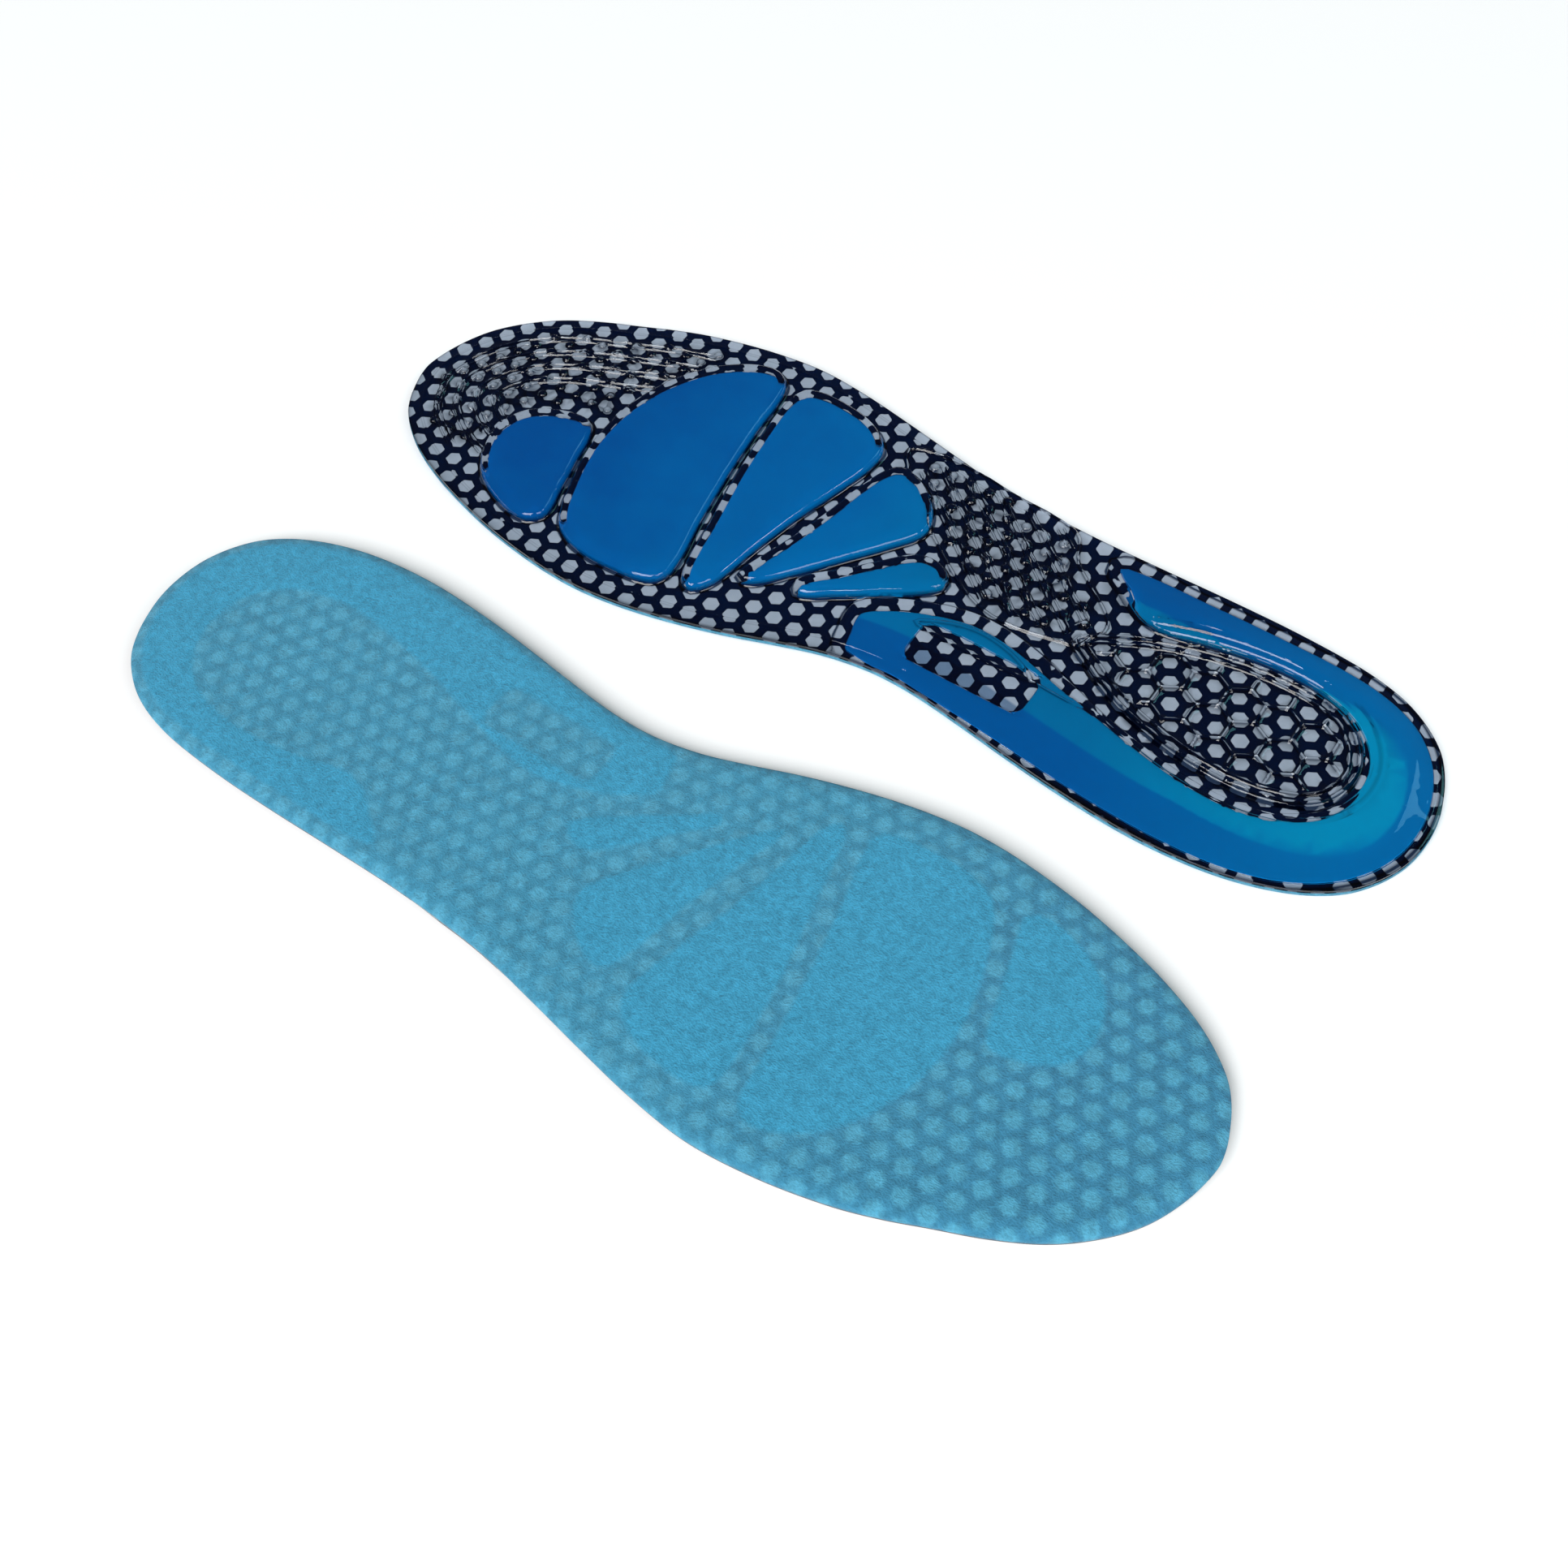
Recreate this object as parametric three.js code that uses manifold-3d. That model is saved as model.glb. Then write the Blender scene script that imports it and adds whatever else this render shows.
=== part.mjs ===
// A pair of gel cushion insoles lying side by side on a table, in millimetres, +Z up.
// The right insole lies foot side up and the left one is turned over, toes pointing opposite ways.
// The origin is on the table, midway between the two.
//
// Both insoles share one plan. In it x runs from the heel towards the toe and y from the centre
// line towards the arch. Depth is measured from the foot face towards the shoe, so a piece is drawn
// with its foot face down, and the right insole is turned foot side up when it is placed.
import * as THREE from "three";
import { mergeVertices } from "three/addons/utils/BufferGeometryUtils.js";
import Module from "manifold-3d";

const wasm = await Module();
wasm.setup();

// Driving dimensions.
const HEEL_TO_CENTRE = 142; // each heel tip lies this far from the origin along X
const EDGE_TO_CENTRE = 50; // each centre line lies this far from the origin along Y
const GAP = 0.3; // glue line between bonded layers, and clearance round a let-in piece
const COVER_THICKNESS = 1;
const FILM_THICKNESS = 0.3;
const PAD_THICKNESS = 1.1;
const SHEET_THICKNESS = 1.6; // the gel between the blocks
const BLOCK_HEIGHT = 2.5; // how far the gel blocks stand out of the sheet
const BASIN_HEIGHT = 0.9; // how far the floor of the heel basin stands out of the sheet
const FILM_INSET = 0.4; // the film and the gel stop this far inside the cover's edge
const BLOCK_MARGIN = 1.4; // clear gel round a coloured pad
const BEVEL_WIDTH = 8.5; // the long slope round the outside of the heel and arch block
const BEVEL_INSET = 1.8; // the thin flange outside that slope
const PATCH_LENGTH = 32; // the honeycomb patch let into the arch
const PATCH_WIDTH = 12;
const PATCH_CORNER = 3;
const PATCH_CENTRE = [107, 14.9];

// Depths below the foot face, worked out from the layers.
const FILM_DEPTH = COVER_THICKNESS + GAP;
const GEL_DEPTH = FILM_DEPTH + FILM_THICKNESS + GAP;
const SHEET_DEPTH = GEL_DEPTH + SHEET_THICKNESS;
const TREAD_DEPTH = SHEET_DEPTH + BLOCK_HEIGHT;
const POCKET_DEPTH = FILM_DEPTH + PAD_THICKNESS + GAP;

// Outlines, as the points that a smooth closed curve runs through.
const INSOLE_EDGE = [
  [0, 0.6], [1.2, -9], [7, -21.3], [19, -30], [36, -33.8], [66, -34.9], [101, -34.7], [131, -36.7],
  [161, -42.3], [191, -46.2], [221, -41.5], [241, -34], [261, -24.3], [275, -10.5],
  [281, 6.5], [279.5, 15], [274, 24.7], [261, 33.7], [241, 40.8], [221, 44.9], [201, 46.1],
  [181, 43.2], [161, 37.6], [141, 30.7], [126, 28], [111, 28.5], [86, 32], [59, 34.6],
  [38, 33.6], [21, 29.1], [9, 21.7], [2, 11],
];
const TOE_PAD = [
  [230.5, 3.9], [227, 13.6], [223.7, 25.6], [221.8, 33.2], [225, 35.9], [234, 34.3],
  [242.5, 29.6], [247.2, 22.1], [248, 14.6], [245, 8.6], [238.5, 4.8],
];
const BALL_PAD = [
  [199, -36.9], [195.4, -33.8], [193.7, -20.3], [191, -2.3], [187.2, 16.7], [184.2, 30.7],
  [186, 34.7], [196, 36.5], [207, 36.2], [214.5, 32.7], [219.5, 22.7], [223.5, 8.7],
  [224, -5.3], [220.5, -18.3], [213.5, -29.3], [205.5, -35.3],
];
const FAN_PADS = [
  [
    [187.5, -35.8], [177, -36.5], [167, -33.8], [161.8, -28.3], [163.5, -16.3], [168, -0.3],
    [171.3, 15.7], [173.5, 27.7], [176.7, 31.7], [179.3, 28.1], [182.2, 14.7], [186, -2.3],
    [188.7, -19.3], [189.5, -31.3],
  ],
  [
    [153.5, -25.8], [147, -24.3], [140.5, -18.3], [138.7, -12.8], [142.5, -6.3], [150.5, 4.2],
    [158.5, 14.7], [164, 21.2], [167.2, 22.8], [166.5, 19], [163, 7.7], [159.5, -6.3], [157, -18.8],
  ],
  [
    [134, -4.5], [128.5, -4.5], [125.7, -1.3], [128.5, 2], [137, 8.2], [147, 15.2],
    [153, 18.8], [154, 16.5], [147, 9.2], [140, 1.2],
  ],
];
const HEEL_ARCH_PAD = [
  [134.5, 26.4], [121, 26.8], [103, 28.3], [81, 30.6], [59, 32.3], [39, 31.9], [23, 28],
  [11.2, 20], [4.4, 9.2], [3, -3.3], [7, -16.2], [16, -25.4], [30, -29.9], [49, -31],
  [71, -31], [90, -30.5], [92.5, -29], [87, -24.3], [81, -20], [74.5, -18.5], [66, -20.5],
  [53, -22.7], [40, -22.9], [28, -19.8], [20, -12.3], [17.5, -2.3], [20.5, 7.7], [29, 14.7],
  [42, 17.7], [57, 16.5], [73, 13], [87, 9.3], [101, 5.5], [113, 4.7], [125, 8],
  [134, 12.7], [137.5, 16.2], [136.5, 21.5],
];
const HEEL_BASIN = [
  [91, -4.8], [78, -13.3], [61, -19], [43, -20.8], [29, -18.3], [21, -10.3], [19.5, -1.3],
  [24.5, 7.7], [37, 12.5], [53, 12.5], [71, 8.2], [84, 1.7],
];

const velour = new THREE.MeshStandardMaterial({ color: 0x55a9cc, roughness: 0.95, metalness: 0 });
const print = new THREE.MeshStandardMaterial({ color: 0x1c2c48, roughness: 0.5, metalness: 0 });
const clearGel = new THREE.MeshStandardMaterial({ color: 0xd9e4ee, roughness: 0.1, metalness: 0 });
const blueGel = new THREE.MeshStandardMaterial({ color: 0x0068b0, roughness: 0.3, metalness: 0 });

// The points of a smooth closed curve through the given ones.
function smoothOutline(points, steps) {
  const curve = new THREE.CatmullRomCurve3(
    points.map(([x, y]) => new THREE.Vector3(x, y, 0)),
    true,
  );
  const around = curve.getPoints(points.length * steps).slice(0, -1);
  const outline = around.map((p) => new THREE.Vector2(p.x, p.y));
  return THREE.ShapeUtils.isClockWise(outline) ? outline.reverse() : outline;
}

// The outline moved outwards by a distance, or inwards where it is negative.
function offsetOutline(outline, distance) {
  return outline.map((point, i) => {
    const before = outline.at(i - 1);
    const after = outline[(i + 1) % outline.length];
    const along = after.clone().sub(before).normalize();
    return new THREE.Vector2(point.x + along.y * distance, point.y - along.x * distance);
  });
}

// A rectangle with round corners, for the patch.
function patchOutline(margin) {
  const halfLength = PATCH_LENGTH / 2 + margin - PATCH_CORNER;
  const halfWidth = PATCH_WIDTH / 2 + margin - PATCH_CORNER;
  const corners = [[1, -1], [1, 1], [-1, 1], [-1, -1]];
  const outline = new THREE.Path();
  corners.forEach(([alongX, alongY], quarter) => {
    const start = (quarter - 1) * (Math.PI / 2);
    const x = PATCH_CENTRE[0] + alongX * halfLength;
    const y = PATCH_CENTRE[1] + alongY * halfWidth;
    outline.absarc(x, y, PATCH_CORNER, start, start + Math.PI / 2);
  });
  return outline.getPoints(3);
}

// A flat layer between two depths, with holes through it.
function layer(outline, holes, top, bottom) {
  const shape = new THREE.Shape(outline);
  shape.holes = holes.map((hole) => new THREE.Path(hole));
  const geometry = new THREE.ExtrudeGeometry(shape, { depth: bottom - top, bevelEnabled: false });
  return geometry.translate(0, 0, top);
}

// A block that narrows towards its tread, with its root buried in the sheet.
function bevelledBlock(outline, bevelWidth, bevelHeight, root) {
  const shape = new THREE.Shape(outline);
  const straight = TREAD_DEPTH - bevelHeight - root;
  const geometry = new THREE.ExtrudeGeometry(shape, {
    depth: straight,
    bevelThickness: bevelHeight,
    bevelSize: bevelWidth,
    bevelOffset: -bevelWidth,
    bevelSegments: 1,
  });
  return geometry.translate(0, 0, root);
}

function toSolid(geometry) {
  const bare = geometry.clone();
  bare.deleteAttribute("normal");
  bare.deleteAttribute("uv");
  const merged = mergeVertices(bare, 1e-4);
  return new wasm.Manifold(
    new wasm.Mesh({
      numProp: 3,
      vertProperties: merged.attributes.position.array,
      triVerts: new Uint32Array(merged.index.array),
    }),
  );
}

function fromSolid(solid) {
  const mesh = solid.getMesh();
  const geometry = new THREE.BufferGeometry();
  geometry.setAttribute("position", new THREE.BufferAttribute(mesh.vertProperties, 3));
  geometry.setIndex(new THREE.BufferAttribute(mesh.triVerts, 1));
  geometry.computeVertexNormals();
  return geometry;
}

const edge = smoothOutline(INSOLE_EDGE, 2);
const innerEdge = offsetOutline(edge, -FILM_INSET);
const forefootPads = new Map([
  ["toe_pad", smoothOutline(TOE_PAD, 2)],
  ["ball_pad", smoothOutline(BALL_PAD, 2)],
  ...FAN_PADS.map((points, i) => [`fan_pad_${i + 1}`, smoothOutline(points, 2)]),
]);
const heelArchPad = smoothOutline(HEEL_ARCH_PAD, 2);
const heelBasin = smoothOutline(HEEL_BASIN, 2);

const cover = () => layer(edge, [], 0, COVER_THICKNESS);

function honeycombFilm() {
  const cutOuts = [...forefootPads.values(), heelArchPad].map((pad) => offsetOutline(pad, GAP));
  return layer(innerEdge, cutOuts, FILM_DEPTH, FILM_DEPTH + FILM_THICKNESS);
}

const archPatch = () => layer(patchOutline(0), [], FILM_DEPTH, FILM_DEPTH + FILM_THICKNESS);

const forefootPad = (outline) => layer(outline, [], FILM_DEPTH, FILM_DEPTH + PAD_THICKNESS);

const heelPad = () =>
  layer(heelArchPad, [patchOutline(GAP)], FILM_DEPTH, FILM_DEPTH + PAD_THICKNESS);

// The heel and arch block: a long slope all round the outside, cut to the pad's own plan.
function heelArchBlock() {
  const root = GEL_DEPTH + GAP;
  const foundation = offsetOutline(edge, -BEVEL_INSET);
  const wholeSlope = toSolid(bevelledBlock(foundation, BEVEL_WIDTH, BLOCK_HEIGHT, SHEET_DEPTH - GAP));
  const plan = toSolid(layer(offsetOutline(heelArchPad, BLOCK_MARGIN), [], root, TREAD_DEPTH + 1));
  return wholeSlope.intersect(plan);
}

// One moulding: the sheet, the blocks on it and the pockets that the coloured pads fill.
function gelMoulding() {
  let gel = toSolid(layer(innerEdge, [], GEL_DEPTH, SHEET_DEPTH));
  for (const pad of forefootPads.values()) {
    const foot = offsetOutline(pad, BLOCK_MARGIN);
    gel = gel.add(toSolid(bevelledBlock(foot, GAP, GAP, GEL_DEPTH + GAP)));
  }
  gel = gel.add(heelArchBlock());
  gel = gel.add(toSolid(layer(heelBasin, [], GEL_DEPTH + GAP, SHEET_DEPTH + BASIN_HEIGHT)));
  for (const pad of forefootPads.values()) {
    const pocket = layer(offsetOutline(pad, GAP), [], COVER_THICKNESS, POCKET_DEPTH);
    gel = gel.subtract(toSolid(pocket));
  }
  const heelPocket = layer(
    offsetOutline(heelArchPad, GAP),
    [patchOutline(0)],
    COVER_THICKNESS,
    POCKET_DEPTH,
  );
  return fromSolid(gel.subtract(toSolid(heelPocket)));
}

function insole(side) {
  const group = new THREE.Group();
  const addPiece = (name, geometry, material) => {
    const mesh = new THREE.Mesh(geometry, material);
    mesh.name = `${side}_${name}`;
    group.add(mesh);
  };
  addPiece("top_cover", cover(), velour);
  addPiece("honeycomb_film", honeycombFilm(), print);
  addPiece("arch_honeycomb_patch", archPatch(), print);
  for (const [name, outline] of forefootPads) addPiece(name, forefootPad(outline), blueGel);
  addPiece("heel_arch_pad", heelPad(), blueGel);
  addPiece("clear_gel", gelMoulding(), clearGel);
  return group;
}

const right = insole("right");
right.position.set(-HEEL_TO_CENTRE, -EDGE_TO_CENTRE, TREAD_DEPTH);
right.scale.z = -1;

const left = insole("left");
left.position.set(HEEL_TO_CENTRE, EDGE_TO_CENTRE, 0);
left.rotation.z = Math.PI;

const pair = new THREE.Group();
pair.add(right, left);

export default pair;
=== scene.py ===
"""A pair of cushioned insoles: the left one lies turned over, the right one with its foot side up."""

import math

import bmesh
import bpy
import numpy as np
from mathutils import Matrix, Vector, geometry


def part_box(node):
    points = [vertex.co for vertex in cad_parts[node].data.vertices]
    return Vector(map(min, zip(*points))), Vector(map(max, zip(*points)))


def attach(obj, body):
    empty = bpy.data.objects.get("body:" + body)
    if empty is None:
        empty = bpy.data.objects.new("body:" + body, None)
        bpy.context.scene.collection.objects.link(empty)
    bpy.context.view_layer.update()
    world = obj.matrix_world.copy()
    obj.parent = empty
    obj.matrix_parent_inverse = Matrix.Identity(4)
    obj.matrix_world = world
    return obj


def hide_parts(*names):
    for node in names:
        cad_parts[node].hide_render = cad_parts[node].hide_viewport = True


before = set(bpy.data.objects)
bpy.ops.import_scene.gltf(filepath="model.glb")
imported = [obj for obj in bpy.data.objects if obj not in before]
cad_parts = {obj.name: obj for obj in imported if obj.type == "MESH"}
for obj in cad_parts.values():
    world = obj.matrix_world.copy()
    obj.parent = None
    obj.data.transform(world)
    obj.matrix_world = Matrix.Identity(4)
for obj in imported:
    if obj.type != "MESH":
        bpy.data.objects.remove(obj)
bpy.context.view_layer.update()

# Work is done on a flat plan of one insole, in millimetres: x runs from the heel to the toe,
# y from the centre line towards the arch, and depth from the foot face towards the shoe.
# Both insoles have that same plan. The left one lies turned over, so its depth is height above
# the table, and the right one is the left one reflected through the point between them.
MM = 0.001
HEEL_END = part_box("left_top_cover")[1].x / MM  # how far each heel tip lies from the frame's centre
CENTRE_LINE = 50.0  # how far each centre line lies from the frame's centre
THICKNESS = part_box("right_top_cover")[1].z / MM
SIDES = ("left", "right")
FOREFOOT_PADS = ("toe_pad", "ball_pad", "fan_pad_1", "fan_pad_2", "fan_pad_3")

# Depths of the layers, and how far one piece laps the next.
FILM_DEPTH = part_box("left_honeycomb_film")[0].z / MM
FILM_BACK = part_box("left_honeycomb_film")[1].z / MM
PAD_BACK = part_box("left_ball_pad")[1].z / MM
SHEET_BACK = 3.5
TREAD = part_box("left_clear_gel")[1].z / MM
BOND = 0.05

# The rim rolls towards the shoe. The film and the gel stop a little inside the cover's edge, and
# the gel thins to a lip there.
ROLL_WIDTH = 4.0
ROLL_HEIGHT = 1.0
FILM_INSET = 0.15
LIP_WIDTH = 1.2
LIP_DEPTH = 0.28

# The moulded blocks over the pads, as depth gained against the way in from a block's foot.
BLOCK_MARGIN = 1.9
ARCH_MARGIN = 3.4
BLOCK_WALL = (
    (-0.6, 0), (-0.3, 0.01), (0.2, 0.2), (0.5, 0.53), (0.7, 0.7), (1.0, 0.87), (1.5, 0.98), (2.0, 1),
    (2.5, 1), (2.75, 0.955), (3.0, 0.99), (4.5, 0.97),
)
# Painted shade: how dark the gel is tinted across a block's foot, against the way in, up to the wall's end.
FOOT_LINE = ((-0.6, 0), (-0.3, 1), (0.2, 1), (0.5, 0.6), (0.7, 0))
WALL_END = 2.3
BEVEL_INSET = 1.8
BEVEL_WIDTH = 9.5
HEEL_BEVEL_WIDTH = 5.5
BEVEL_TAPER = (8, 50)
MARGIN_TAPER = (75, 92)
ARCH_SINK = 0.8
ARCH_START = 78
ARCH_BLEND = 14

# The heel's basin: its outline, its floor, and the ledges that climb from it to the block.
HEEL_BASIN = (
    (91, -4.8), (78, -13.3), (61, -19), (43, -20.8), (29, -18.3), (21, -10.3), (19.5, -1.3),
    (24.5, 7.7), (37, 12.5), (53, 12.5), (71, 8.2), (84, 1.7),
)
BASIN_FLOOR = 0.9
LEDGES = (
    (-0.4, 0), (0, 0.9), (0.4, 1.25), (1.7, 1.25), (2.1, 1.7), (3.4, 1.7), (3.8, 2.15), (5.1, 2.15),
    (5.5, 2.6),
)
CELL_PITCH = 9.0
CELL_WALL = 0.75
CELL_RISE = 0.9
CELLS_INSET = 4.0

# Fine relief. A rib's size is its half width and its height, and a dome's its radius and height.
FINE_RIB = (0.5, 0.45)
RIB_PAIR_GAP = 1.5
RIM_CREASE = (0.6, 0.25)
RIM_CREASE_INSET = 3.6
RIM_CREASE_START = 118
BASIN_RINGS = ((0.9, (0.75, 0.95)), (3.0, (0.65, 0.8)))
MIDFOOT_PATCH = ((156, -34.4), (119, -2.4), (92, -2.4), (88, -6), (87, -13.4), (101, -24.4), (111, -34.4))
MIDFOOT_FRAME = (0.7, 0.65)
MIDFOOT_SLANT = math.radians(141.7)
MIDFOOT_STEP = 5.1
MIDFOOT_MARGIN = 2.2
MIDFOOT_DOME = (1.5, 1.15)
MIDFOOT_DOME_PITCH = 5.3
MIDFOOT_DOME_MARGIN = 3.2
TOE_ARC_INSETS = (8.0, 13.0, 18.0, 23.0)
TOE_ARC_START = 212
TOE_ARC_SIDE = 27
TOE_DOME = (1.3, 0.95)
TOE_DOME_PITCH = 5.2
TOE_DOME_FIELD = ((214, -40), (278, 26))
TOE_DOME_RIM_MARGIN = 6.5
TOE_DOME_PAD_MARGIN = 4.5
LENS_RING = (
    (124.5, 12.2), (117, 8.2), (109, 6.8), (100, 8.4), (93, 12.2), (100, 12.9), (109, 13.1), (117, 13),
)
LENS_RIB = (0.9, 0.5)
LENS_TAIL = ((93, 12.2), (84, 13), (74, 12.9))
LENS_TAIL_RIB = (0.6, 0.4)

# How finely lines and sheets are cut up.
LINE_SPACING = 1.2
SHORTEST_RUN = 4
RIM_CLEARANCE = 0.45
GEL_SPACING = 3.0
SHEET_SPACING = 4.0
SMOOTH_ANGLE = math.radians(60)


# ---------------------------------------------------------------- lines on the plan

def resampled(line, spacing, closed):
    """The same line with its points evenly spaced, about that far apart."""
    ends = np.vstack([line, line[:1]]) if closed else line
    along = np.concatenate([[0], np.cumsum(np.linalg.norm(np.diff(ends, axis=0), axis=1))])
    count = max(6 if closed else 2, round(along[-1] / spacing) + (not closed))
    at = np.linspace(0, along[-1], count, endpoint=not closed)
    return np.stack([np.interp(at, along, ends[:, k]) for k in (0, 1)], axis=1)


def smoothed(points, spacing=LINE_SPACING, closed=True):
    """A smooth curve through the points, with a point about every spacing."""
    p = np.array(points, float)
    if closed:
        before, after, beyond = np.roll(p, 1, 0), np.roll(p, -1, 0), np.roll(p, -2, 0)
        start = p
    else:
        padded = np.vstack([2 * p[0] - p[1], p, 2 * p[-1] - p[-2]])
        before, start, after, beyond = padded[:-3], padded[1:-2], padded[2:-1], padded[3:]
    t = np.linspace(0, 1, 8, endpoint=False)[None, :, None]
    before, start, after, beyond = (a[:, None, :] for a in (before, start, after, beyond))
    square = 2 * before - 5 * start + 4 * after - beyond
    cube = 3 * (start - after) + beyond - before
    curve = start + 0.5 * t * (after - before + t * (square + t * cube))
    curve = curve.reshape(-1, 2)
    if not closed:
        curve = np.vstack([curve, p[-1:]])
    return resampled(curve, spacing, closed)


def shifted(line, distance, closed=True):
    """The line moved sideways: outwards on an anticlockwise ring."""
    if closed:
        along = np.roll(line, -1, 0) - np.roll(line, 1, 0)
    else:
        along = np.gradient(line, axis=0)
    along /= np.linalg.norm(along, axis=1)[:, None]
    return line + distance * np.stack([along[:, 1], -along[:, 0]], axis=1)


def runs(ring, kept, closed=True):
    """The stretches of a line whose points are kept, each as an open line."""
    if not closed:
        ring, kept = np.vstack([ring, ring[-1:]]), np.append(kept, False)
    start = int(np.argmin(kept))
    ring, kept = np.roll(ring, -start, 0), np.roll(kept, -start)
    parts = np.split(np.arange(len(ring)), np.nonzero(np.diff(kept.astype(int)))[0] + 1)
    return [ring[part] for part in parts if kept[part[0]] and len(part) >= SHORTEST_RUN]


def distance(points, line, closed=True, reach=1e9):
    """How far each point lies from a line, up to the reach."""
    near = np.all((points > line.min(0) - reach) & (points < line.max(0) + reach), axis=1)
    some = points[near]
    best = np.full(len(some), float(reach))
    for a, b in zip(line if closed else line[:-1], np.roll(line, -1, 0) if closed else line[1:]):
        way = b - a
        t = np.clip((some - a) @ way / max(way @ way, 1e-12), 0, 1)
        best = np.minimum(best, np.linalg.norm(some - a - t[:, None] * way, axis=1))
    far = np.full(len(points), float(reach))
    far[near] = best
    return far


def inside(points, ring):
    """Which points lie inside a ring."""
    odd = np.zeros(len(points), bool)
    for a, b in zip(ring, np.roll(ring, -1, 0)):
        if a[1] == b[1]:
            continue
        spans = (points[:, 1] < a[1]) != (points[:, 1] < b[1])
        cross = a[0] + (points[:, 1] - a[1]) * (b[0] - a[0]) / (b[1] - a[1])
        odd ^= spans & (points[:, 0] < cross)
    return odd


def depth_inside(points, ring, reach=1e9):
    """How far inside a ring each point lies, negative outside it."""
    away = distance(points, ring, reach=reach)
    return np.where(inside(points, ring), away, -away)


def outline_of(node, spacing=LINE_SPACING):
    """The smooth outer edge of a layer of the left insole, on the plan, anticlockwise."""
    shape = bmesh.new()
    shape.from_mesh(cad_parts["left_" + node].data)
    bmesh.ops.remove_doubles(shape, verts=shape.verts, dist=1e-6)
    low = min(v.co.z for v in shape.verts)
    onwards = {}
    for edge in shape.edges:
        flat = all(abs(v.co.z - low) < 1e-6 for v in edge.verts)
        slopes = [abs(face.normal.z) for face in edge.link_faces]
        if flat and max(slopes) - min(slopes) > 0.5:
            for a, b in (edge.verts, reversed(edge.verts)):
                onwards.setdefault(a, []).append(b)
    rings = []
    while onwards:
        here = next(iter(onwards))
        ring = []
        while here in onwards:
            ring.append(here)
            here = next((v for v in onwards.pop(here) if v in onwards), None)
        rings.append(np.array([(HEEL_END - v.co.x / MM, CENTRE_LINE - v.co.y / MM) for v in ring]))
    shape.free()
    ring = max(rings, key=lambda r: np.ptp(r[:, 0]))
    return smoothed(anticlockwise(ring), spacing)


def lattice(low, high, pitch):
    """Points in rows, each row half a step along from the last."""
    rows = np.arange(low[1], high[1], pitch * math.sqrt(3) / 2)
    return np.array([
        (x + (row % 2) * pitch / 2, y)
        for row, y in enumerate(rows)
        for x in np.arange(low[0], high[0], pitch)
    ])


def signed_area(ring):
    """The area inside a ring, negative if it runs clockwise."""
    turn = np.roll(ring, -1, 0)
    return (ring[:, 0] * turn[:, 1] - ring[:, 1] * turn[:, 0]).sum() / 2


def area_of(ring):
    """The area inside a ring."""
    return abs(signed_area(ring))


def anticlockwise(ring):
    """The same ring, turned round if it runs clockwise."""
    return ring[::-1] if signed_area(ring) < 0 else ring


# ---------------------------------------------------------------- meshes from the plan

def triangulated(rings, lines=(), spots=(), holes=()):
    """Points and triangles inside the first ring and outside the holes, with an edge along every line."""
    points, edges = [], []
    for line, closed in [(r, True) for r in (*rings, *holes)] + [(l, False) for l in lines]:
        first = len(points)
        points.extend(line)
        edges.extend((first + i, first + i + 1) for i in range(len(line) - 1))
        if closed:
            edges.append((first + len(line) - 1, first))
    points.extend(spots)
    made = geometry.delaunay_2d_cdt([Vector(p) for p in np.round(points, 4)], edges, [], 1, 1e-3, False)
    plan = np.array([tuple(v) for v in made[0]])
    faces = np.array([f for f in made[2] if len(f) == 3])
    centres = plan[faces].mean(axis=1)
    kept = inside(centres, rings[0])
    for hole in holes:
        kept &= ~inside(centres, hole)
    faces = faces[kept]
    a, b, c = (plan[faces[:, k]] for k in range(3))
    turned = (b[:, 0] - a[:, 0]) * (c[:, 1] - a[:, 1]) - (b[:, 1] - a[:, 1]) * (c[:, 0] - a[:, 0]) < 0
    faces[turned] = faces[turned][:, ::-1]
    used, faces = np.unique(faces, return_inverse=True)
    return plan[used], faces.reshape(-1, 3)


def open_edges(faces):
    """The directed edges that only one triangle uses."""
    directed = {(int(f[k]), int(f[(k + 1) % 3])) for f in faces for k in range(3)}
    return [(a, b) for a, b in directed if (b, a) not in directed]


def closed_piece(name, back, front):
    """A closed mesh from two sheets of (plan points, triangles, depths): shoe side, then foot side."""
    (back_plan, back_faces, back_depth), (front_plan, front_faces, front_depth) = back, front
    split = len(back_plan)
    back_corners = np.column_stack([back_plan, back_depth])
    corners = np.vstack([back_corners, np.column_stack([front_plan, front_depth])])
    front_rim = sorted({corner for edge in open_edges(front_faces) for corner in edge})

    def opposite(corner):
        away = np.linalg.norm(front_plan[front_rim] - back_plan[corner], axis=1)
        return split + front_rim[away.argmin()]

    walls = [(b, a, opposite(a), opposite(b)) for a, b in open_edges(back_faces)]
    mesh = bpy.data.meshes.new(name)
    mesh.from_pydata(
        corners.tolist(), [], [*back_faces.tolist(), *(front_faces[:, ::-1] + split).tolist(), *walls]
    )
    plan_map = mesh.uv_layers.new(name="plan")
    corner_of = np.zeros(len(mesh.loops), int)
    mesh.loops.foreach_get("vertex_index", corner_of)
    plan_map.data.foreach_set("uv", corners[corner_of, :2].astype(np.float32).ravel())
    mesh.shade_smooth()
    mesh.set_sharp_from_angle(angle=SMOOTH_ANGLE)
    return mesh


def flat_layer(name, sheet, front_depth, back_depth):
    """A closed layer whose two faces share one set of triangles."""
    plan, faces = sheet
    return closed_piece(name, (plan, faces, back_depth(plan)), (plan, faces, front_depth(plan)))


def marked(mesh, name, values):
    """The mesh with a value stored on each point, for its finish to read."""
    attribute = mesh.attributes.new(name, "FLOAT", "POINT")
    attribute.data.foreach_set("value", values.astype(np.float32))
    return mesh


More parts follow.
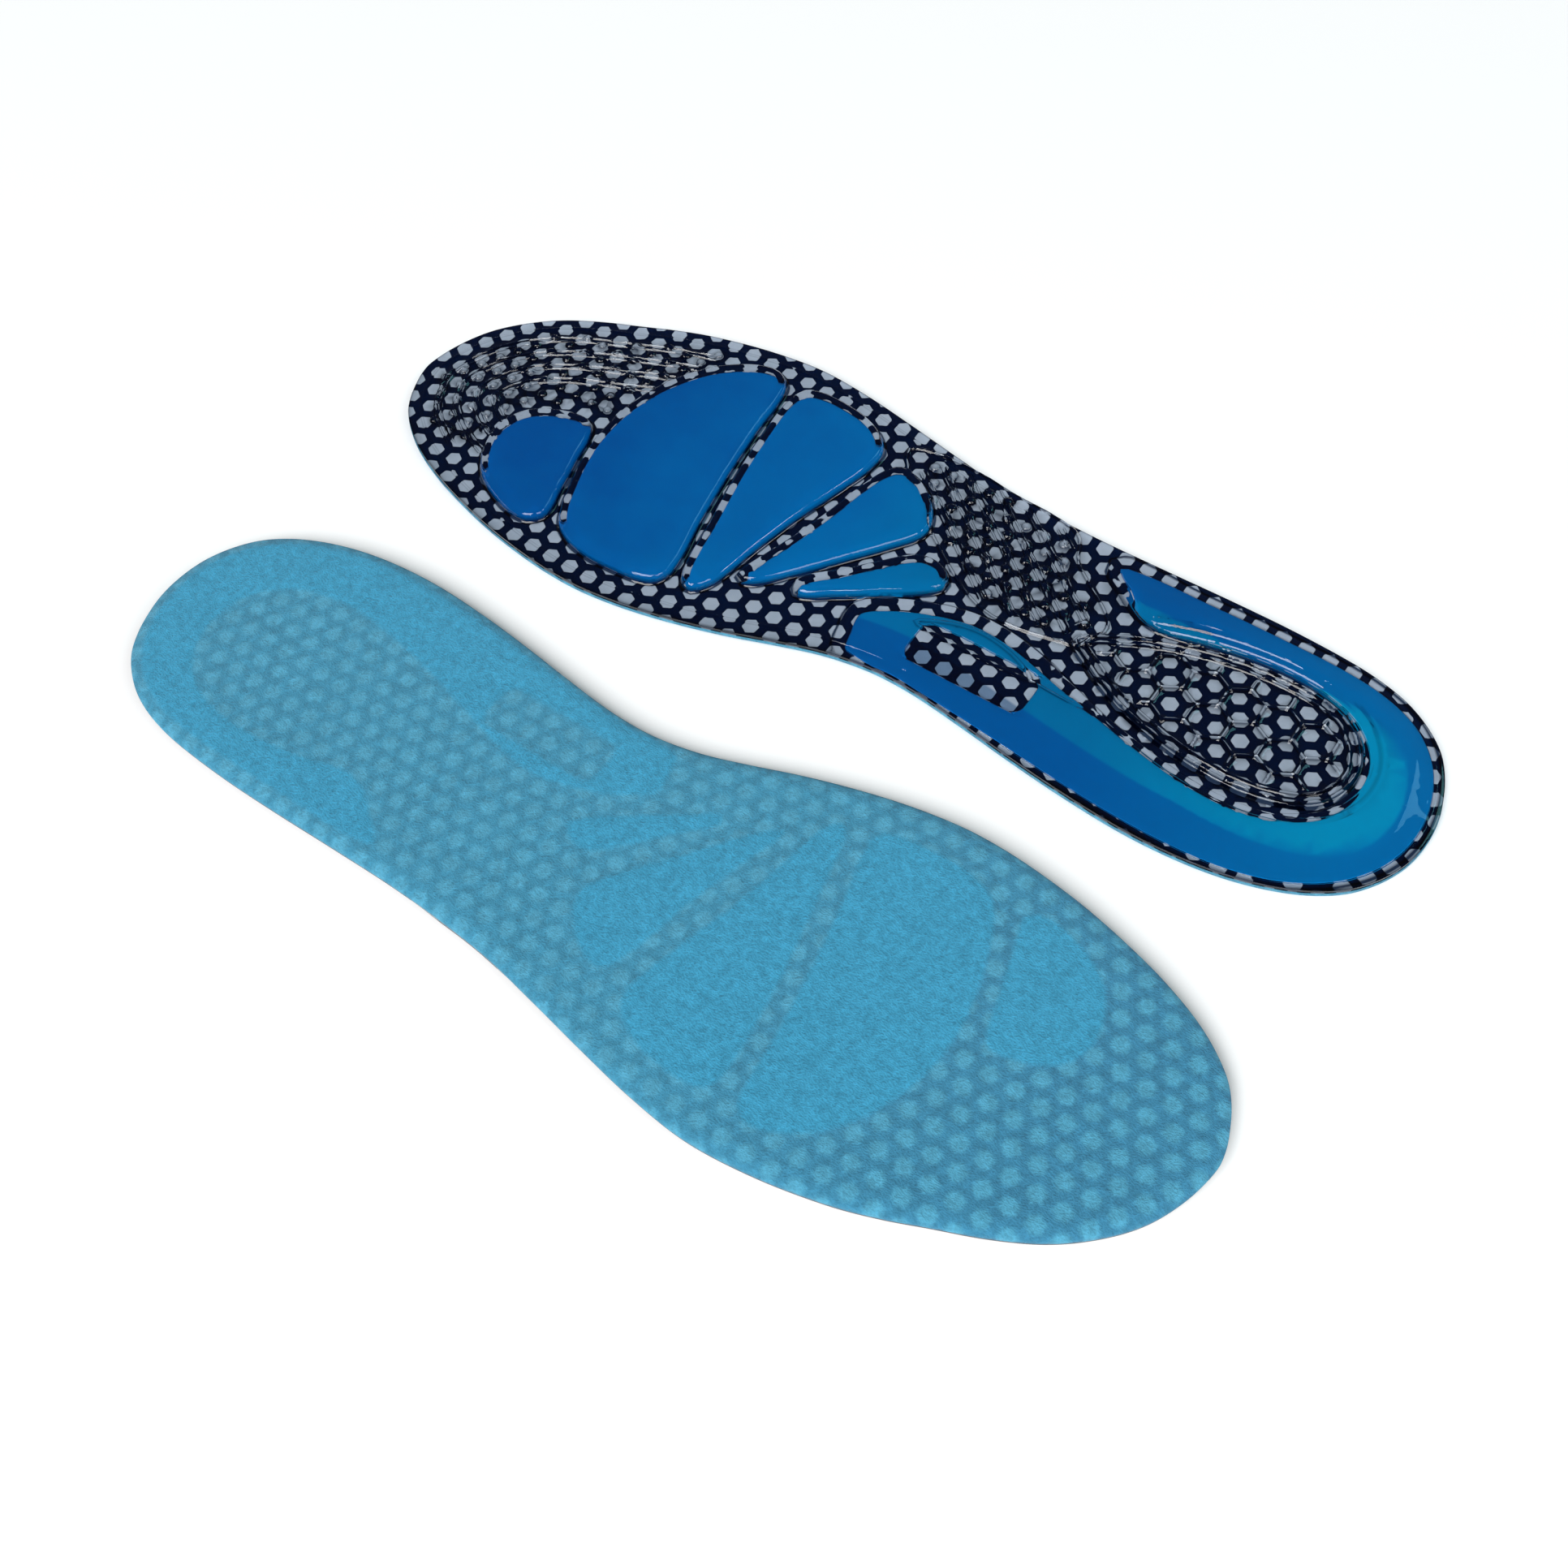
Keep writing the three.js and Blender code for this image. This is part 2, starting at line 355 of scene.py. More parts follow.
TO_LEFT = Matrix((
    (-MM, 0, 0, HEEL_END * MM), (0, -MM, 0, CENTRE_LINE * MM), (0, 0, MM, 0), (0, 0, 0, 1),
))
TO_RIGHT = Matrix((
    (MM, 0, 0, -HEEL_END * MM), (0, MM, 0, -CENTRE_LINE * MM), (0, 0, -MM, THICKNESS * MM), (0, 0, 0, 1),
))


def placed(mesh, side, name, node, finish):
    """One insole's copy of a piece, in its place and riding on that insole."""
    copy = mesh.copy()
    copy.name = name
    if side == "left":
        copy.transform(TO_LEFT)
    else:
        copy.transform(TO_RIGHT)
        copy.flip_normals()
    copy.materials.clear()
    copy.materials.append(finish)
    piece = bpy.data.objects.new(f"{side}_{name}", copy)
    bpy.context.scene.collection.objects.link(piece)
    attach(piece, f"{side}_insole")
    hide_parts(f"{side}_{node}")
    return piece


# ---------------------------------------------------------------- the plan's own lines

EDGE = outline_of("top_cover")
PAD_OUTLINES = {name: outline_of(name, 1.0) for name in FOREFOOT_PADS}
HEEL_PAD_OUTLINE = outline_of("heel_arch_pad", 1.0)
ISLAND_OUTLINE = outline_of("arch_honeycomb_patch", 1.0)
BASIN = anticlockwise(smoothed(HEEL_BASIN))


def roll(plan):
    """How far the rim has rolled towards the shoe."""
    edge_distance = distance(plan, EDGE, reach=ROLL_WIDTH)
    return ROLL_HEIGHT * (1 - edge_distance / ROLL_WIDTH) ** 2


# ---------------------------------------------------------------- the gel's relief

class Rib:
    """A rounded rib along a line."""

    def __init__(self, line, half_width, height, closed=False):
        self.line, self.half_width, self.height, self.closed = line, half_width, height, closed

    def guides(self):
        """Lines along the rib that the mesh's edges follow."""
        shares = (-1, -0.5, 0, 0.5, 1)
        return [(shifted(self.line, share * self.half_width, self.closed), self.closed) for share in shares]

    def rise(self, plan):
        """How far the rib stands out at each point."""
        away = distance(plan, self.line, self.closed, reach=self.half_width)
        return self.height * np.cos(away / self.half_width * math.pi / 2) ** 2


def rib_pair(line):
    """Two fine ribs side by side."""
    half = RIB_PAIR_GAP / 2
    return [Rib(shifted(line, way, closed=False), *FINE_RIB) for way in (-half, half)]


def toe_arcs():
    """Size lines round the toe, each a pair of fine ribs that follows the outline."""
    made = []
    for inset in TOE_ARC_INSETS:
        ring = resampled(shifted(EDGE, -inset), 1.5, True)
        kept = (ring[:, 0] > TOE_ARC_START + inset / 2) & (ring[:, 1] < TOE_ARC_SIDE)
        for line in runs(ring, kept):
            made += rib_pair(line)
    return made


def midfoot_ribs():
    """Slanting pairs of fine ribs across the outer midfoot, with one wider rib as a frame round them."""
    patch = np.array(MIDFOOT_PATCH, float)
    way = np.array([math.cos(MIDFOOT_SLANT), math.sin(MIDFOOT_SLANT)])
    across = np.array([-way[1], way[0]])
    centre = patch.mean(axis=0)
    made = []
    for step in range(-6, 7):
        line = centre + across * MIDFOOT_STEP * step + way * np.arange(-40, 40, 1.5)[:, None]
        kept = depth_inside(line, smoothed(patch)) > MIDFOOT_MARGIN
        for part in runs(line, kept, closed=False):
            made += rib_pair(part)
    return made + [Rib(smoothed(MIDFOOT_PATCH, 1.5), *MIDFOOT_FRAME, True)]


def basin_ribs():
    """The double ring inside the basin's edge."""
    return [
        Rib(resampled(shifted(BASIN, -inset), LINE_SPACING, True), *size, True)
        for inset, size in BASIN_RINGS
    ]


def arch_ribs():
    """The lens-shaped ring on the arch and the rib that runs on from its tip."""
    ring = smoothed(LENS_RING)[::-1]
    return [Rib(ring, *LENS_RIB, True), Rib(smoothed(LENS_TAIL, closed=False), *LENS_TAIL_RIB)]


def rim_crease():
    """The rib round the forefoot where the flat sole turns up into the rolled rim."""
    ring = resampled(shifted(EDGE, -RIM_CREASE_INSET), 1.4, True)
    return [Rib(line, *RIM_CREASE) for line in runs(ring, ring[:, 0] > RIM_CREASE_START)]


def cell_centre(plan):
    """Where each point lies from the centre of its own cell in the basin's honeycomb."""
    rise = CELL_PITCH * math.sqrt(3)
    best = None
    for shift in (np.array([0, 0]), np.array([CELL_PITCH / 2, rise / 2])):
        spot = (plan - shift + [CELL_PITCH / 2, rise / 2]) % [CELL_PITCH, rise] - [CELL_PITCH / 2, rise / 2]
        best = spot if best is None else np.where(
            (np.linalg.norm(spot, axis=1) < np.linalg.norm(best, axis=1))[:, None], spot, best
        )
    return best


def cell_rise(plan):
    """The raised walls of the honeycomb on the basin's floor."""
    spot = np.abs(cell_centre(plan))
    to_wall = CELL_PITCH / 2 - np.maximum(spot[:, 0], spot[:, 0] / 2 + spot[:, 1] * math.sqrt(3) / 2)
    wall = np.cos(np.clip(to_wall / CELL_WALL, 0, 1) * math.pi / 2) ** 2
    return CELL_RISE * wall * np.clip((depth_inside(plan, BASIN) - CELLS_INSET) / 0.6, 0, 1)


def cell_guides():
    """Lines along the honeycomb's walls."""
    radius = CELL_PITCH / math.sqrt(3)
    low, high = BASIN.min(axis=0) // CELL_PITCH * CELL_PITCH, BASIN.max(axis=0)
    rise = CELL_PITCH * math.sqrt(3)
    made = []
    for column in range(-2, int((high[0] - low[0]) / CELL_PITCH) + 3):
        for row in range(-4, 6):
            x = (low[0] // CELL_PITCH + column + (row % 2) / 2) * CELL_PITCH
            y = row * rise / 2
            if depth_inside(np.array([[x, y]]), BASIN)[0] < 0:
                continue
            for side in range(6):
                angles = [math.radians(60 * (side + k) + 30) for k in (0, 1)]
                ends = np.array([(x + radius * math.cos(a), y + radius * math.sin(a)) for a in angles])
                wall = resampled(ends, 0.9, False)
                centre = np.array([x, y])
                for share in (1, 1 - 2 * CELL_WALL / CELL_PITCH, 1 - CELL_WALL / CELL_PITCH):
                    made.append(centre + (wall - centre) * share)
    return made


class Domes:
    """Small round bumps at a list of places."""

    def __init__(self, centres, radius, height):
        self.centres, self.radius, self.height = centres, radius, height

    def spots(self):
        """Points on each bump that the mesh's corners fall on."""
        made = [self.centres]
        for share, count in ((0.5, 6), (0.85, 10), (1.0, 10)):
            for k in range(count):
                angle = 2 * math.pi * (k + share) / count
                way = np.array([math.cos(angle), math.sin(angle)])
                made.append(self.centres + share * self.radius * way)
        return np.vstack(made)

    def rise(self, plan):
        """How far the bumps stand out at each point."""
        best = np.full(len(plan), self.radius)
        for centre in self.centres:
            near = np.abs(plan - centre).max(axis=1) < self.radius
            best[near] = np.minimum(best[near], np.linalg.norm(plan[near] - centre, axis=1))
        return self.height * np.sqrt(np.clip(1 - (best / self.radius) ** 2, 0, 1))


def midfoot_domes():
    """The bumps inside the ribbed patch of the midfoot."""
    patch = smoothed(MIDFOOT_PATCH, 2)
    centres = lattice(patch.min(axis=0), patch.max(axis=0), MIDFOOT_DOME_PITCH)
    return Domes(centres[depth_inside(centres, patch) > MIDFOOT_DOME_MARGIN], *MIDFOOT_DOME)


def toe_domes():
    """The bumps round the toe, clear of the rim and of the blocks."""
    centres = lattice(*TOE_DOME_FIELD, TOE_DOME_PITCH)
    clear = depth_inside(centres, EDGE) > TOE_DOME_RIM_MARGIN
    for ring in PAD_OUTLINES.values():
        clear &= depth_inside(centres, ring) < -TOE_DOME_PAD_MARGIN
    return Domes(centres[clear], *TOE_DOME)


def curve_value(steps, at):
    """Read off a curve given by its corners."""
    where, value = zip(*steps)
    return np.interp(at, where, value)


def heel_margin(plan):
    """How far the heel and arch block reaches beyond its pad: more round the arch."""
    return np.interp(plan[:, 0], MARGIN_TAPER, (BLOCK_MARGIN, ARCH_MARGIN))


def bevel_width(plan):
    """How wide the heel and arch block's slope is: less round the end of the heel."""
    return np.interp(plan[:, 0], BEVEL_TAPER, (HEEL_BEVEL_WIDTH, BEVEL_WIDTH))


def forefoot_way_in(plan):
    """How far inside the foot of a forefoot block each point lies."""
    reach = BLOCK_MARGIN + 6
    return BLOCK_MARGIN + np.max([depth_inside(plan, ring, reach) for ring in PAD_OUTLINES.values()], axis=0)


def heel_way_in(plan):
    """How far inside the foot of the heel and arch block each point lies."""
    return heel_margin(plan) + depth_inside(plan, HEEL_PAD_OUTLINE, ARCH_MARGIN + 6)


def block_rise(plan):
    """The forefoot blocks, the heel and arch block, and the basin with its ledges."""
    full = TREAD - SHEET_BACK
    forefoot = full * curve_value(BLOCK_WALL, forefoot_way_in(plan))
    heel = curve_value(BLOCK_WALL, heel_way_in(plan))
    edge_distance = distance(plan, EDGE, reach=BEVEL_INSET + BEVEL_WIDTH + 1)
    bevel = np.clip((edge_distance - BEVEL_INSET) / bevel_width(plan), 0, 1)
    arch = np.clip((plan[:, 0] - ARCH_START) / ARCH_BLEND, 0, 1)
    heel_height = np.minimum(heel, bevel) * (full - ARCH_SINK * arch)
    from_basin = -depth_inside(plan, BASIN, 12)
    beyond = np.where(from_basin > LEDGES[-1][0], full, 0)
    heel_height = np.minimum(heel_height, curve_value(LEDGES, from_basin) + beyond)
    floor = BASIN_FLOOR * np.clip(1 - from_basin / 0.4, 0, 1)
    return np.maximum(forefoot, np.maximum(heel_height, floor))


def block_guides():
    """Rings along the feet, walls and shoulders of the blocks, the bevel, the ledges and the basin."""
    rings = []
    for way_in, _ in BLOCK_WALL:
        rings += [(shifted(ring, BLOCK_MARGIN - way_in), True) for ring in PAD_OUTLINES.values()]
        margin = heel_margin(HEEL_PAD_OUTLINE)[:, None]
        rings.append((shifted(HEEL_PAD_OUTLINE, margin - way_in), True))
    for share in (0, 0.5, 1):
        inset = BEVEL_INSET + share * bevel_width(EDGE)[:, None]
        ring = resampled(shifted(EDGE, -inset), 1.5, True)
        kept = depth_inside(ring, HEEL_PAD_OUTLINE) > -BLOCK_MARGIN - 1
        rings += [(line, False) for line in runs(ring, kept)]
    for way_out, _ in LEDGES:
        rings.append((resampled(shifted(BASIN, way_out), LINE_SPACING, True), True))
    return rings


RIBS = toe_arcs() + midfoot_ribs() + basin_ribs() + arch_ribs() + rim_crease()
DOMES = [midfoot_domes(), toe_domes()]


def gel_back(plan):
    """Depth of the gel's moulded face."""
    from_rim = distance(plan, shifted(EDGE, -FILM_INSET), reach=LIP_WIDTH)
    lip = LIP_DEPTH * (1 - from_rim / LIP_WIDTH) ** 2
    fine = np.zeros(len(plan))
    for part in (*RIBS, *DOMES):
        fine = np.maximum(fine, part.rise(plan))
    fine = np.maximum(fine, cell_rise(plan))
    return np.minimum(SHEET_BACK - lip + block_rise(plan) + fine, TREAD)


def gel_front(plan):
    """Depth of the gel's bonded face: it laps each pad and the film by the bond."""
    depth = FILM_BACK - BOND + roll(plan)
    for ring in (*PAD_OUTLINES.values(), HEEL_PAD_OUTLINE):
        over = np.clip(depth_inside(plan, ring, 3) / 0.1, 0, 1)
        if ring is HEEL_PAD_OUTLINE:
            over = np.minimum(over, np.clip(-depth_inside(plan, ISLAND_OUTLINE, 3) / 0.1, 0, 1))
        depth = np.maximum(depth, over * (PAD_BACK - BOND) + (1 - over) * depth)
    return depth


# How upright the relief must be for painted shade in the gel: full at the first level, none at the second.
STEEP_RANGE = (0.84, 0.975)


def gel_mesh():
    """The clear moulding, with the relief as its own triangles."""
    rim = resampled(shifted(EDGE, -FILM_INSET), LINE_SPACING, True)
    rings, lines = [rim], []
    guides = block_guides() + [guide for rib in RIBS for guide in rib.guides()]
    for line, closed in guides:
        kept = depth_inside(line, rim) > RIM_CLEARANCE
        if closed and kept.all():
            rings.append(line)
        else:
            lines += runs(line, kept, closed)
    for inset in (0.3, 0.7, 1.2):
        rings.append(shifted(rim, -inset))
    lines += cell_guides()
    field = lattice(EDGE.min(axis=0), EDGE.max(axis=0), GEL_SPACING)
    spots = np.vstack([field, *[domes.spots() for domes in DOMES]])
    spots = spots[depth_inside(spots, rim) > 0.5]
    back_plan, back_faces = triangulated(rings, lines, spots)
    rings = [rim, *[shifted(rim, -inset) for inset in (0.8, 1.8, 3, ROLL_WIDTH)]]
    for ring in (*PAD_OUTLINES.values(), HEEL_PAD_OUTLINE):
        rings += [ring, shifted(ring, -0.1)]
    rings += [ISLAND_OUTLINE, shifted(ISLAND_OUTLINE, 0.1)]
    front_plan, front_faces = triangulated(rings)
    back = (back_plan, back_faces, gel_back(back_plan))
    front = (front_plan, front_faces, gel_front(front_plan))
    return shade_steep(closed_piece("gel", back, front), back_plan)


def shade_steep(mesh, back_plan):
    """Marks the steep relief for painted shade, where real gel looks dark, and a dark line at the rim; the
    finish tints both.
    """
    # Painted shade on the steep relief and along the blocks' feet.
    level = np.array([abs(vertex.normal.z) for vertex in mesh.vertices])
    steep = np.interp(level, STEEP_RANGE, (1, 0))
    steep[len(back_plan):] = 0
    for way_in in (forefoot_way_in(back_plan), heel_way_in(back_plan)):
        foot = curve_value(FOOT_LINE, way_in)
        on_wall = (way_in > FOOT_LINE[0][0]) & (way_in < WALL_END)
        steep[:len(back_plan)] = np.where(on_wall, foot, steep[:len(back_plan)])
    edge_distance = distance(back_plan, EDGE, reach=BEVEL_INSET + BEVEL_WIDTH + 3)
    on_slope = (heel_way_in(back_plan) > 0.7) & (edge_distance < BEVEL_INSET + bevel_width(back_plan) + 1.5)
    steep[:len(back_plan)][on_slope] = 0
    everywhere = np.array([vertex.co[:2] for vertex in mesh.vertices])
    edge_distance = distance(everywhere, EDGE, reach=1) - FILM_INSET
    # A dark line along the gel's rim.
    steep = np.maximum(steep, np.interp(edge_distance, (0.1, 0.5), (1, 0)))
    return marked(mesh, "steep", steep)


# ---------------------------------------------------------------- cover, film and pads

SLOPE_SHADE = (0.7, 1.3)


def slope_rings(ring):
    """The parts inside a ring of the two lines between which the slope's shade ends."""
    made = []
    for beyond in SLOPE_SHADE:
        inset = BEVEL_INSET + beyond + bevel_width(EDGE)[:, None]
        line = resampled(shifted(EDGE, -inset), 1.5, True)
        made += runs(line, inside(line, ring))
    return made


def shade_slope(mesh, plan):
    """Marks what lies under the heel block's slope, where the finishes paint shade."""
    edge_distance = distance(plan, EDGE, reach=BEVEL_INSET + BEVEL_WIDTH + 3)
    beyond = edge_distance - BEVEL_INSET - bevel_width(plan)
    shade = np.interp(beyond, SLOPE_SHADE, (1, 0))
    return marked(mesh, "painted_slope_shade", np.concatenate([shade, shade]))


def over_pads(plan):
    """1 where a blue pad lies behind the cover, 0 where the print does, with a soft border."""
    soft = 0.9
    cover = np.zeros(len(plan))
    for ring in PAD_OUTLINES.values():
        cover = np.maximum(cover, np.clip(0.5 + depth_inside(plan, ring, 4) / soft, 0, 1))
    heel = np.clip(0.5 + depth_inside(plan, HEEL_PAD_OUTLINE, 4) / soft, 0, 1)
    island = np.clip(0.5 - depth_inside(plan, ISLAND_OUTLINE, 4) / soft, 0, 1)
    return np.maximum(cover, np.minimum(heel, island))


def cover_mesh():
    """The velour cover: a soft sheet that rolls down at the rim and sinks a little between the pads."""
    rings = [EDGE, *[shifted(EDGE, -inset) for inset in (0.25, 0.7, 1.4, 2.4, 3.6, ROLL_WIDTH)]]
    for ring in (*PAD_OUTLINES.values(), HEEL_PAD_OUTLINE, ISLAND_OUTLINE):
        rings += [shifted(ring, way) for way in (-0.6, 0, 0.6)]
    spots = lattice(EDGE.min(axis=0), EDGE.max(axis=0), SHEET_SPACING)
    plan, faces = triangulated(rings, spots=spots[depth_inside(spots, EDGE) > ROLL_WIDTH + 1])
    soft_edge = 0.25 * (1 - distance(plan, EDGE, reach=0.7) / 0.7) ** 2
    cover = over_pads(plan)
    front = roll(plan) + 0.12 * (1 - cover) + soft_edge
    back = roll(plan) + FILM_DEPTH - 0.02
    mesh = closed_piece("velour_cover", (plan, faces, back), (plan, faces, front))
    return marked(mesh, "over_pads", np.concatenate([cover, cover]))


def level(depth):
    """A face that lies at one depth everywhere."""
    return lambda plan: np.full(len(plan), depth)


def film_mesh():
    """The printed film, with a cut-out for each pad."""
    rim = resampled(shifted(EDGE, -FILM_INSET), LINE_SPACING, True)
    rings = [rim, *[shifted(rim, -inset) for inset in (0.8, 1.8, 3, ROLL_WIDTH)]]
    sheet = triangulated(rings, holes=[*PAD_OUTLINES.values(), HEEL_PAD_OUTLINE])
    return flat_layer("print_film", sheet, lambda p: FILM_DEPTH + roll(p), lambda p: FILM_BACK + roll(p))


def island_mesh():
    """The small piece of printed film inside the arch."""
    sheet = triangulated([ISLAND_OUTLINE], slope_rings(ISLAND_OUTLINE))
    mesh = flat_layer("print_island", sheet, level(FILM_DEPTH), level(FILM_BACK))
    return shade_slope(mesh, sheet[0])


def pad_mesh(name, ring, hole=None):
    """A soft pad with rounded shoulders and a flat back."""
    shoulder = 0.5
    rings = [ring, *[shifted(ring, -inset) for inset in (0.12, 0.3, shoulder, 2.0)]]
    holes = [] if hole is None else [hole]
    rings += [shifted(hole, inset) for inset in (0.12, 0.3, shoulder)] if holes else []
    spots = lattice(ring.min(axis=0), ring.max(axis=0), SHEET_SPACING)
    spots = spots[depth_inside(spots, ring) > 2.5]
    if holes:
        spots = spots[depth_inside(spots, hole) < -1]
    lines = slope_rings(ring) if holes else []
    sheet = triangulated(rings, lines, spots, holes)

    def back(plan):
        edge_distance = distance(plan, ring, reach=shoulder)
        if holes:
            edge_distance = np.minimum(edge_distance, distance(plan, hole, reach=shoulder))
        round_off = 1 - np.sqrt(np.clip(1 - (1 - edge_distance / shoulder) ** 2, 0, 1))
        return PAD_BACK - shoulder * round_off

    mesh = flat_layer(name, sheet, level(FILM_DEPTH), back)
    return shade_slope(mesh, sheet[0]) if holes else mesh


# ---------------------------------------------------------------- finishes

def srgb(r, g, b):
    """A linear colour from its eight-bit display values."""
    shares = (r / 255, g / 255, b / 255)
    linear = [c / 12.92 if c <= 0.04045 else ((c + 0.055) / 1.055) ** 2.4 for c in shares]
    return (*linear, 1.0)


def calc(tree, operation, *values):
    """A maths node fed with sockets or numbers."""
    node = tree.nodes.new("ShaderNodeMath")
    node.operation = operation
    for socket, value in zip(node.inputs, values):
        if isinstance(value, bpy.types.NodeSocket):
            tree.links.new(value, socket)
        else:
            socket.default_value = value
    return node.outputs[0]


def mixed(tree, factor, first, second, blend="MIX"):
    """A colour mixed from two colours or sockets."""
    node = tree.nodes.new("ShaderNodeMix")
    node.data_type = "RGBA"
    node.blend_type = blend
    for socket, value in ((node.inputs[0], factor), (node.inputs[6], first), (node.inputs[7], second)):
        if isinstance(value, bpy.types.NodeSocket):
            tree.links.new(value, socket)
        else:
            socket.default_value = value
    return node.outputs[2]


def noise(tree, vector, scale, detail=2.0, roughness=0.5):
    """Soft random grain."""
    node = tree.nodes.new("ShaderNodeTexNoise")
    node.inputs["Scale"].default_value = scale
    node.inputs["Detail"].default_value = detail
    node.inputs["Roughness"].default_value = roughness
    tree.links.new(vector, node.inputs["Vector"])
    return node.outputs["Fac"]


def ranged(tree, value, low, high, to_low=0.0, to_high=1.0):
    """A value carried from one range over to another, and held at its ends."""
    node = tree.nodes.new("ShaderNodeMapRange")
    tree.links.new(value, node.inputs["Value"])
    for name, number in (("From Min", low), ("From Max", high), ("To Min", to_low), ("To Max", to_high)):
        node.inputs[name].default_value = number
    return node.outputs[0]


def plan_coordinates(tree):
    """Where a point lies on the insole's plan, in millimetres."""
    node = tree.nodes.new("ShaderNodeUVMap")
    node.uv_map = "plan"
    return node.outputs[0]


def way_along(tree):
    """How far along the plan a point lies, from the heel."""
    split = tree.nodes.new("ShaderNodeSeparateXYZ")
    tree.links.new(plan_coordinates(tree), split.inputs[0])
    return split.outputs[0]


def object_coordinates(tree):
    """Where a point lies in the piece itself, in metres."""
    return tree.nodes.new("ShaderNodeTexCoord").outputs["Object"]


def mark(tree, name):
    """A value that the mesh stores on its points."""
    node = tree.nodes.new("ShaderNodeAttribute")
    node.attribute_name = name
    return node.outputs["Fac"]


def bumped(tree, height, distance_m):
    """The surface tilted by fine bumps of that depth."""
    node = tree.nodes.new("ShaderNodeBump")
    node.inputs["Strength"].default_value = 1.0
    node.inputs["Distance"].default_value = distance_m
    tree.links.new(height, node.inputs["Height"])
    return node.outputs[0]


def new_material(name):
    """A new material, with its nodes and its main shader."""
    made = bpy.data.materials.new(name)
    made.use_nodes = True
    return made, made.node_tree, made.node_tree.nodes["Principled BSDF"]


HEX_PITCH = 6.0
HEX_ORIGIN = (169.8, 32.4)
HEX_TURN = math.radians(-1.64)


def honeycomb_group():
    """Hexagons with two flat sides across the insole: Mask is 1 in them and 0 in the ground between them."""
    group = bpy.data.node_groups.new("honeycomb print", "ShaderNodeTree")
    group.interface.new_socket("Plan", in_out="INPUT", socket_type="NodeSocketVector")
    group.interface.new_socket("Across Flats", in_out="INPUT", socket_type="NodeSocketFloat")
    group.interface.new_socket("Softness", in_out="INPUT", socket_type="NodeSocketFloat")
    group.interface.new_socket("Mask", in_out="OUTPUT", socket_type="NodeSocketFloat")
    start, end = group.nodes.new("NodeGroupInput"), group.nodes.new("NodeGroupOutput")
    turn = group.nodes.new("ShaderNodeMapping")
    turn.vector_type = "TEXTURE"
    turn.inputs["Location"].default_value = (*HEX_ORIGIN, 0)
    turn.inputs["Rotation"].default_value = (0, 0, HEX_TURN)
    group.links.new(start.outputs["Plan"], turn.inputs["Vector"])
    split = group.nodes.new("ShaderNodeSeparateXYZ")
    group.links.new(turn.outputs[0], split.inputs[0])
    row_step = HEX_PITCH * math.sqrt(3) / 2
    sizes = []
    for shift_x, shift_y in ((0, 0), (HEX_PITCH / 2, row_step)):
        x = calc(group, "ADD", split.outputs[0], shift_x)
        y = calc(group, "ADD", split.outputs[1], shift_y)
        x = calc(group, "ABSOLUTE", calc(group, "WRAP", x, HEX_PITCH / 2, -HEX_PITCH / 2))
        y = calc(group, "ABSOLUTE", calc(group, "WRAP", y, row_step, -row_step))
        rise = calc(group, "MULTIPLY", y, math.sqrt(3) / 2)
        slant = calc(group, "ADD", calc(group, "MULTIPLY", x, 0.5), rise)
        sizes.append(calc(group, "SMOOTH_MAX", x, slant, 0.5))
    nearest = calc(group, "MINIMUM", *sizes)
    way_in = calc(group, "SUBTRACT", calc(group, "MULTIPLY", start.outputs["Across Flats"], 0.5), nearest)
    mask = calc(group, "ADD", calc(group, "DIVIDE", way_in, start.outputs["Softness"]), 0.5)
    mask = calc(group, "MINIMUM", calc(group, "MAXIMUM", mask, 0.0), 1.0)
    group.links.new(mask, end.inputs["Mask"])
    return group


HONEYCOMB = honeycomb_group()


def honeycomb(tree, across, softness, plan=None):
    """The print's mask, read on the plan or on a plan that has been pushed about."""
    node = tree.nodes.new("ShaderNodeGroup")
    node.node_tree = HONEYCOMB
    tree.links.new(plan or plan_coordinates(tree), node.inputs["Plan"])
    node.inputs["Across Flats"].default_value = across
    node.inputs["Softness"].default_value = softness
    return node.outputs["Mask"]


def printed_film():
    """Satin film with pale hexagons on a navy ground, with painted shade under the heel block's slope."""
    made, tree, shader = new_material("printed film")
    mask = honeycomb(tree, 3.72, 0.12)
    where = object_coordinates(tree)
    ground = mixed(tree, noise(tree, where, 90), srgb(0, 3, 21), srgb(0, 11, 35))
    hexagon = mixed(tree, noise(tree, where, 300, 4), srgb(116, 126, 138), srgb(134, 142, 154))
    plain = mixed(tree, mask, ground, hexagon)
    # Painted shade: the print under the heel block's slope is darkened.
    slope_shaded_print = mixed(tree, 1.0, plain, srgb(165, 186, 208), "MULTIPLY")
    tree.links.new(mixed(tree, mark(tree, "painted_slope_shade"), plain, slope_shaded_print), shader.inputs["Base Color"])
    shader.inputs["Roughness"].default_value = 0.55
    shader.inputs["Specular IOR Level"].default_value = 0.0
    return made


